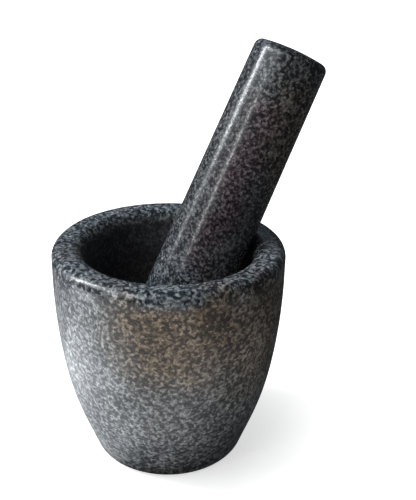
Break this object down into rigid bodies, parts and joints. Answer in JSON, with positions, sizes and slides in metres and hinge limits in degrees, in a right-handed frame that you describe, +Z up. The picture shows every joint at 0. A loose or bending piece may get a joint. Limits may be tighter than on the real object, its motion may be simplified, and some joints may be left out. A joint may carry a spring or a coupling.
{
  "type": "molcajete",
  "caption": "Turned granite mortar with a flat foot and a loose tapered pestle that leans in its bowl, for grinding spices and salsas.",
  "frame": {"origin": "centre of the mortar's flat foot, on the surface it stands on", "axes": "+Z up along the mortar's turning axis; the pestle leans towards +X"},
  "size_m": [0.1539, 0.1314, 0.2394],
  "materials": {
    "mortar_stone": "satin honed dark speckled granite",
    "pestle_stone": "polished dark speckled granite"
  },
  "bodies": {
    "mortar": {"mortar": "mortar_stone"},
    "pestle": {"pestle": "pestle_stone"}
  },
  "joints": [
    {"name": "pestle_lift", "type": "slide", "parent": "mortar", "child": "pestle", "axis": [0.3887, 0, 0.9214], "range_m": [0, 0.13]}
  ]
}
